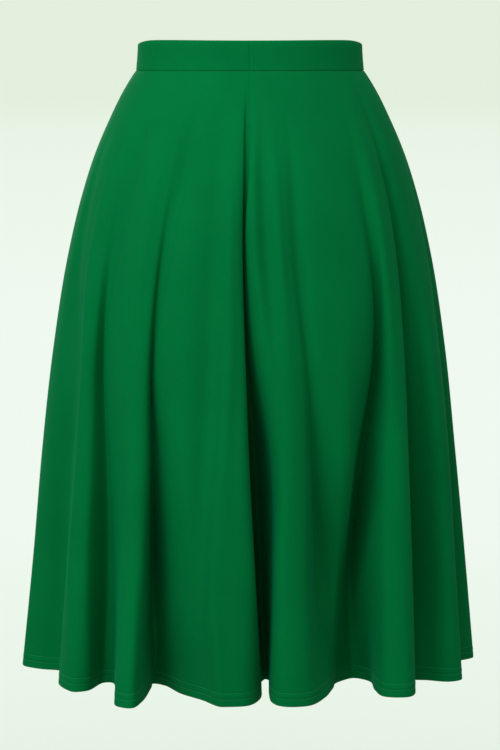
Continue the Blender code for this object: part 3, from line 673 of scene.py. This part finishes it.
def nearest_normals(line, normal, places):
    """Unit normals at given lengths along a polyline that has a normal at each point."""
    along = np.concatenate([[0.0], np.cumsum(np.linalg.norm(np.diff(line, axis=0), axis=1))])
    facing = np.stack([np.interp(places, along, normal[:, k]) for k in range(3)], axis=-1)
    return facing / np.linalg.norm(facing, axis=1, keepdims=True)


def hem_loopers(name, rows, inner, outward):
    """The looper thread's zigzag between the two rows, on the inside."""
    low, high = (row_at(inner, rows, HEM + up) for up in STITCH_ROWS)
    normal = row_at(outward, rows, HEM + STITCH_ROWS[0])
    _, total = points_along(low, [0.0])
    count = int(total / STITCH_PITCH)
    shares = LOOPER_INSET + (1 - 2 * LOOPER_INSET) * np.arange(2 * count + 1) / (2 * count)
    places = shares * total
    low_points, _ = points_along(low, places)
    _, high_total = points_along(high, [0.0])
    high_points, _ = points_along(high, shares * high_total)
    facing = -nearest_normals(low, normal, places)
    zigzag = np.where((np.arange(len(places)) % 2 == 0)[:, None], low_points, high_points)
    path = zigzag + facing * STITCH_SINK
    return tube_mesh(name, [(path, facing)], LOOPER_RADIUS, 4, THREAD, closed_ends=False)


def add_panel(side, rows, grid, normals):
    """One of the four panels, with its hem, seam allowances and stitches."""
    first, last = (STARTS[LINE_NAMES.index(line)] for line in PANELS[side])
    last += COLUMNS if last < first else 0
    span = np.arange(first, last + 1) % COLUMNS
    middle = with_seam_columns(grid[:, span])
    outward = with_seam_columns(normals[:, span])
    outward /= np.linalg.norm(outward, axis=2, keepdims=True)
    _, near = from_ends(middle)
    roll = SEAM_GROOVE * np.exp(-(near / SEAM_ROLL) ** 2)
    allowance = ALLOWANCE_LAYER * (1 - smooth((near - ALLOWANCE) / ALLOWANCE_EDGE))
    out_by, in_by = hem_shape(rows)
    outer = middle + outward * (out_by[:, None] - roll * (out_by[:, None] > 0.0004))[:, :, None]
    inner = middle - outward * (in_by[:, None] + allowance)[:, :, None]
    outer, inner = (pulled_in(g, SEWN / 2, SEWN / 2) for g in (outer, inner))
    cloth = mesh_from_grids("cloth_" + side, outer, inner, panel_pattern(middle), KNIT)
    stitches = hem_stitches("hem_stitches_" + side, rows, outer, outward)
    loopers = hem_loopers("hem_loopers_" + side, rows, inner, outward)
    for piece in (cloth, stitches, loopers):
        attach(piece, "skirt")
    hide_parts("panel_" + side)


# ================================================================ waistband
def band_top(azimuth):
    """Height of the waistband's upper edge round the waist."""
    angle = np.radians(azimuth)
    front = np.maximum(0.0, np.cos(angle)) ** 4
    return BAND_TOP - FRONT_DIP * front - SIDE_DIP * np.abs(np.sin(angle)) ** 20


def band_profile():
    """The waistband's section: pairs of a share of its height and an offset from its middle."""
    half = BAND_CLOTH / 2
    tall = BAND_TOP - BAND_BOTTOM
    turn = np.linspace(0.0, math.pi, 9)
    fold = half / tall
    top = [(1 - fold + fold * math.sin(a), half * math.cos(a)) for a in turn]
    rises = np.array([0.0, 0.0002, 0.0005, 0.0010, 0.0020]) / tall
    sinks = (0.55, 0.76, 0.90, 0.975, 1.0)
    middle = np.linspace(rises[-1], 1 - fold, 12)[1:-1]
    outside = [*zip(rises, (half * k for k in sinks)), *((s, half) for s in middle)]
    inside = [(s, -offset) for s, offset in reversed(outside)]
    return np.array(outside + top + inside)


def add_band(side, k):
    """A quarter of the waistband, the k-th from the left side round the front."""
    start = -90.0 + 90.0 * k
    profile = band_profile()
    edge = np.array(BAND_EDGE)
    between = np.linspace(edge[-1], BAND_QUARTER - edge[-1], BAND_COLUMNS)[1:-1]
    lengths = np.concatenate([edge, between, (BAND_QUARTER - edge)[::-1]])
    azimuth = start + lengths / lengths[-1] * 90.0
    top = band_top(azimuth)
    points = np.zeros((len(profile), len(azimuth), 3))
    for i, (share, _) in enumerate(profile):
        for j, a in enumerate(azimuth):
            points[i, j] = on_ring(BAND_BOTTOM + share * (top[j] - BAND_BOTTOM), a)
    angle = np.radians(azimuth)
    outward = np.stack([np.sin(angle) / BAND_HALF_WIDE, -np.cos(angle) / BAND_HALF_DEEP,
                        np.zeros(len(angle))], axis=-1)
    outward /= np.linalg.norm(outward, axis=1, keepdims=True)
    _, near = from_ends(points)
    offset = profile[:, 1][:, None] * np.ones(len(azimuth))[None, :]
    roll = SEAM_GROOVE * np.exp(-(near / SEAM_ROLL) ** 2)
    offset = np.where(offset > 0, np.maximum(offset - roll, 0.2 * offset), offset)
    points = points + outward[None] * offset[:, :, None]
    back_first = ZIP_GAP / 2 if side == "back_left" else SEWN / 2
    back_last = ZIP_GAP / 2 if side == "back_right" else SEWN / 2
    points = slid_ends(points, back_first, back_last)
    band = swept_mesh("band_" + side, points, KNIT)
    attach(band, "skirt")
    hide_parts("waistband_" + side)


def slid_ends(points, back_first, back_last):
    """The waistband's columns, with those near each end shifted along to leave the seam's gap."""
    moved = points.copy()
    along, _ = from_ends(points)
    reach = 0.008
    tangent = np.gradient(points, axis=1)
    tangent /= np.linalg.norm(tangent, axis=2, keepdims=True)
    start = back_first * np.clip(1 - along / reach, 0.0, 1.0)
    end = back_last * np.clip(1 - (along[:, -1:] - along) / reach, 0.0, 1.0)
    return moved + tangent * (start - end)[:, :, None]


def swept_mesh(name, points, material):
    """A closed body from a ring of profile points for each column."""
    around, columns = points.shape[:2]
    index = np.arange(around * columns).reshape(around, columns)
    after = np.roll(index, -1, axis=0)
    faces = np.stack([index[:, :-1].ravel(), index[:, 1:].ravel(), after[:, 1:].ravel(),
                      after[:, :-1].ravel()], axis=1).tolist()
    faces.append(index[:, 0].tolist())
    faces.append(index[::-1, -1].tolist())
    mesh = bpy.data.meshes.new(name)
    mesh.from_pydata(points.reshape(-1, 3).tolist(), [], faces)
    mesh.shade_smooth()
    along, _ = from_ends(points)
    up = np.concatenate([[0.0], np.cumsum(np.linalg.norm(np.diff(points[:, columns // 2], axis=0), axis=1))])
    flat = np.stack([along, np.repeat(up[:, None], columns, axis=1)], axis=-1).reshape(-1, 2)
    layer = mesh.uv_layers.new(name="Pattern")
    corners = np.zeros(len(mesh.loops), np.int32)
    mesh.loops.foreach_get("vertex_index", corners)
    layer.uv.foreach_set("vector", flat[corners].astype(np.float32).ravel())
    mesh.materials.append(material)
    piece = bpy.data.objects.new(name, mesh)
    bpy.context.scene.collection.objects.link(piece)
    return piece


# ================================================================ zip
def zip_path(heights, across, inwards):
    """Points down the inside of the back seam, so far across it and so far in from the tape's face."""
    seam = LINE_NAMES.index("back_seam")
    middle = np.array([on_ring(z, 180.0) if z >= BAND_BOTTOM else fold_points(z)[seam] for z in ZIP_ROWS])
    seat = np.array([BAND_CLOTH / 2 + BAND_EASE if z >= BAND_BOTTOM else CLOTH / 2 + PANEL_EASE
                     for z in ZIP_ROWS])
    down = -np.array(ZIP_ROWS)
    x = np.interp(-heights, down, middle[:, 0]) + across
    y = np.interp(-heights, down, middle[:, 1] - seat) - TAPE - inwards
    return np.stack([x, y, heights], axis=-1)


def add_zip_teeth():
    """The closed coil's teeth, as one joined mesh of short bars across it."""
    count = int((ZIP_ROWS[0] - ZIP_ROWS[-1]) / TOOTH_PITCH)
    heights = np.linspace(ZIP_ROWS[0] - TOOTH_PITCH, ZIP_ROWS[-1] + TOOTH_PITCH, count)
    paths = []
    inward = np.array([[0.0, -1.0, 0.0]] * 4)
    for z in heights:
        slant = TOOTH_PITCH * 0.25
        places = ((-COIL_HALF, slant), (-0.35 * COIL_HALF, slant / 2), (0.35 * COIL_HALF, -slant / 2),
                  (COIL_HALF, -slant))
        bar = np.concatenate([zip_path(np.array([z + rise]), across, COIL) for across, rise in places])
        paths.append((bar, inward))
    teeth = tube_mesh("zip_teeth", paths, TOOTH_RADIUS, 6, NYLON)
    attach(teeth, "skirt")


def add_tape_stitches():
    """The stitches that hold the zip tape to the seam allowances, one row on each side of the coil."""
    paths = []
    inward = np.array([[0.0, -1.0, 0.0]] * 3)
    count = int((ZIP_ROWS[2] - ZIP_ROWS[-1]) / STITCH_PITCH)
    for across in (-TAPE_STITCH_OUT, TAPE_STITCH_OUT):
        for i in range(count):
            top = ZIP_ROWS[2] - i * STITCH_PITCH - 0.0004
            heights = top - np.array([0.0, 0.5, 1.0]) * STITCH_LONG
            line = zip_path(heights, across, 0.0)
            line[:, 1] -= np.array([-0.00010, 0.00012, -0.00010])
            paths.append((line, inward))
    stitches = tube_mesh("zip_tape_stitches", paths, STITCH_RADIUS, 5, THREAD)
    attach(stitches, "skirt")


def dress_zip():
    """The CAD tape, slider and tab keep their shapes and get their finishes."""
    for node, material in (("zip_tape", TAPE_WEAVE), ("zip_slider", ENAMEL), ("zip_pull_tab", ENAMEL)):
        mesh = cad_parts[node].data
        mesh.materials.clear()
        mesh.materials.append(material)


# ================================================================ stage, light and camera
FLOOR = -1.10                        # the floor, where a wearer would stand
FLOOR_RADIUS = 300.0
BACKDROP = (0.776, 0.860, 0.724)     # pale mint
# painted light: the floor's colour is painted paler in a wide ring about 3 to 8 m from the skirt, where the
# studio's light would fall brighter
FLOOR_PAINTED_LIGHT = (0.871, 0.938, 0.871)
FLOOR_NEAR = (0.760, 0.855, 0.723)
FLOOR_BOUNCE = (0.22, 0.24, 0.22)    # its colour for the light that it throws back
FLOOR_FADE = 60.0                    # where its colour has become the backdrop's
FLOOR_STOPS = (                      # square root of the share of that distance, and colour
    (0.0, FLOOR_NEAR), (0.045, FLOOR_NEAR), (0.22, FLOOR_PAINTED_LIGHT), (0.36, FLOOR_PAINTED_LIGHT), (1.0, BACKDROP))
WORLD_COLOUR = (0.93, 1.0, 0.95)
WORLD_LIGHT = 0.31                   # strength of the even light on the skirt


def add_floor():
    """A wide disc whose colour goes over into the backdrop's, away from the skirt, through a paler ring of
    painted light.
    """
    mesh = bpy.data.meshes.new("floor")
    bm = bmesh.new()
    bmesh.ops.create_circle(bm, cap_ends=True, segments=96, radius=FLOOR_RADIUS)
    bm.to_mesh(mesh)
    bm.free()
    floor = bpy.data.objects.new("floor", mesh)
    floor.location.z = FLOOR
    bpy.context.scene.collection.objects.link(floor)
    material = bpy.data.materials.new("pale_floor")
    material.use_nodes = True
    tree = material.node_tree
    tree.nodes.clear()
    place = tree.nodes.new("ShaderNodeTexCoord").outputs["Object"]
    away = tree.nodes.new("ShaderNodeVectorMath")
    away.operation = "LENGTH"
    tree.links.new(place, away.inputs[0])
    # the ramp paints a paler ring of light into the floor's colour, away from the skirt
    ramp = tree.nodes.new("ShaderNodeValToRGB")
    for _ in FLOOR_STOPS[2:]:
        ramp.color_ramp.elements.new(0.5)
    for element, (position, colour) in zip(ramp.color_ramp.elements, FLOOR_STOPS):
        element.position = position
        element.color = (*colour, 1.0)
    reach = calculated(tree, "POWER", mapped(tree, away.outputs["Value"], 0.0, FLOOR_FADE, 0.0, 1.0), 0.5)
    tree.links.new(reach, ramp.inputs["Fac"])
    seen = add_node(tree, "ShaderNodeBsdfDiffuse")
    tree.links.new(ramp.outputs["Color"], seen.inputs["Color"])
    bounced = add_node(tree, "ShaderNodeBsdfDiffuse", Color=(*FLOOR_BOUNCE, 1.0))
    path = tree.nodes.new("ShaderNodeLightPath")
    mix = tree.nodes.new("ShaderNodeMixShader")
    tree.links.new(path.outputs["Is Camera Ray"], mix.inputs[0])
    tree.links.new(bounced.outputs[0], mix.inputs[1])
    tree.links.new(seen.outputs[0], mix.inputs[2])
    output = tree.nodes.new("ShaderNodeOutputMaterial")
    tree.links.new(mix.outputs[0], output.inputs["Surface"])
    mesh.materials.append(material)
    return floor


def add_world():
    """A pale backdrop where it is seen, and a weaker even light from all round on the skirt."""
    world = bpy.data.worlds.new("studio")
    bpy.context.scene.world = world
    world.use_nodes = True
    tree = world.node_tree
    tree.nodes.clear()
    seen = add_node(tree, "ShaderNodeBackground", Color=(*BACKDROP, 1.0), Strength=1.0)
    given = add_node(tree, "ShaderNodeBackground", Color=(*WORLD_COLOUR, 1.0), Strength=WORLD_LIGHT)
    path = tree.nodes.new("ShaderNodeLightPath")
    mix = tree.nodes.new("ShaderNodeMixShader")
    tree.links.new(path.outputs["Is Camera Ray"], mix.inputs[0])
    tree.links.new(given.outputs[0], mix.inputs[1])
    tree.links.new(seen.outputs[0], mix.inputs[2])
    output = tree.nodes.new("ShaderNodeOutputWorld")
    tree.links.new(mix.outputs[0], output.inputs["Surface"])


# The strengths of the lights in front, and WORLD_LIGHT, started from a least-squares fit of trial
# lights to the picture's tones, and were then rounded and changed.
SOFTBOXES = (
    # name    place in metres        wide  tall  watts
    ("key",   (-1.40, -2.00, 1.25),  1.0,  1.0,  27),
    ("front", (-0.65, -2.50, 1.20),  1.0,  1.0,  15),
    ("side",  (-2.20, -1.25, 1.15),  1.0,  1.0,  10),
    ("rim",   (2.40, -0.95, 1.10),   1.0,  1.0,  7),
    ("top",   (0.0, -1.90, 2.60),    1.6,  1.6,  12),
    ("back",  (-0.8, 3.0, 0.8),      2.0,  1.6,  25),
)
LIGHT_AIM = (0.0, 0.0, -0.35)        # the middle of the skirt
SUN_STRENGTH = math.pi * 0.70        # the floor's own light
SUN_SPREAD = 100.0                   # degrees


def add_softbox(name, place, width, height, power):
    light = bpy.data.lights.new(name, "AREA")
    light.shape = "RECTANGLE"
    light.size = width
    light.size_y = height
    light.energy = power
    box = bpy.data.objects.new(name, light)
    box.location = place
    box.rotation_euler = (Vector(LIGHT_AIM) - Vector(place)).to_track_quat("-Z", "Y").to_euler()
    bpy.context.scene.collection.objects.link(box)
    return box


def light_only(light, floor, state):
    """Links a light to the floor alone, or to everything but the floor."""
    linked = bpy.data.collections.new(light.name + "_lights")
    linked.objects.link(floor)
    linked.collection_objects[0].light_linking.link_state = state
    light.light_linking.receiver_collection = linked


def add_lights(floor):
    for row in SOFTBOXES:
        light_only(add_softbox(*row), floor, "EXCLUDE")
    sun = bpy.data.lights.new("floor_light", "SUN")
    sun.energy = SUN_STRENGTH
    sun.angle = math.radians(SUN_SPREAD)
    floor_light = bpy.data.objects.new("floor_light", sun)
    floor_light.location = (0.0, 0.0, 6.0)
    bpy.context.scene.collection.objects.link(floor_light)
    light_only(floor_light, floor, "INCLUDE")


CAMERA_AWAY = 2.88                   # metres
SENSOR = 36.0                        # mm
FOCAL_PIXELS = 2487.0                # focal length in pixels of a picture 750 pixels tall
TALL_PIXELS = 750.0
DOWN_PIXELS = 320.0                  # the camera looks down by this many of them


def add_camera():
    """Level with the waistband, in front of it and looking 7.3 degrees down."""
    camera = bpy.data.cameras.new("camera")
    camera.sensor_width = SENSOR
    camera.lens = SENSOR * FOCAL_PIXELS / TALL_PIXELS
    eye = bpy.data.objects.new("camera", camera)
    eye.location = (0.0, -CAMERA_AWAY, 0.0)
    eye.rotation_euler = (math.pi / 2 - math.atan(DOWN_PIXELS / FOCAL_PIXELS), 0.0, 0.0)
    bpy.context.scene.collection.objects.link(eye)
    bpy.context.scene.camera = eye


# ================================================================ the scene
def main():
    rows, grid, normals = cloth_grid()
    for k, side in enumerate(BANDS):
        add_band(side, k)
    for side in PANELS:
        add_panel(side, rows, grid, normals)
    dress_zip()
    add_zip_teeth()
    add_tape_stitches()
    floor = add_floor()
    add_world()
    add_lights(floor)
    add_camera()
    bpy.context.scene.view_settings.view_transform = "Standard"


main()
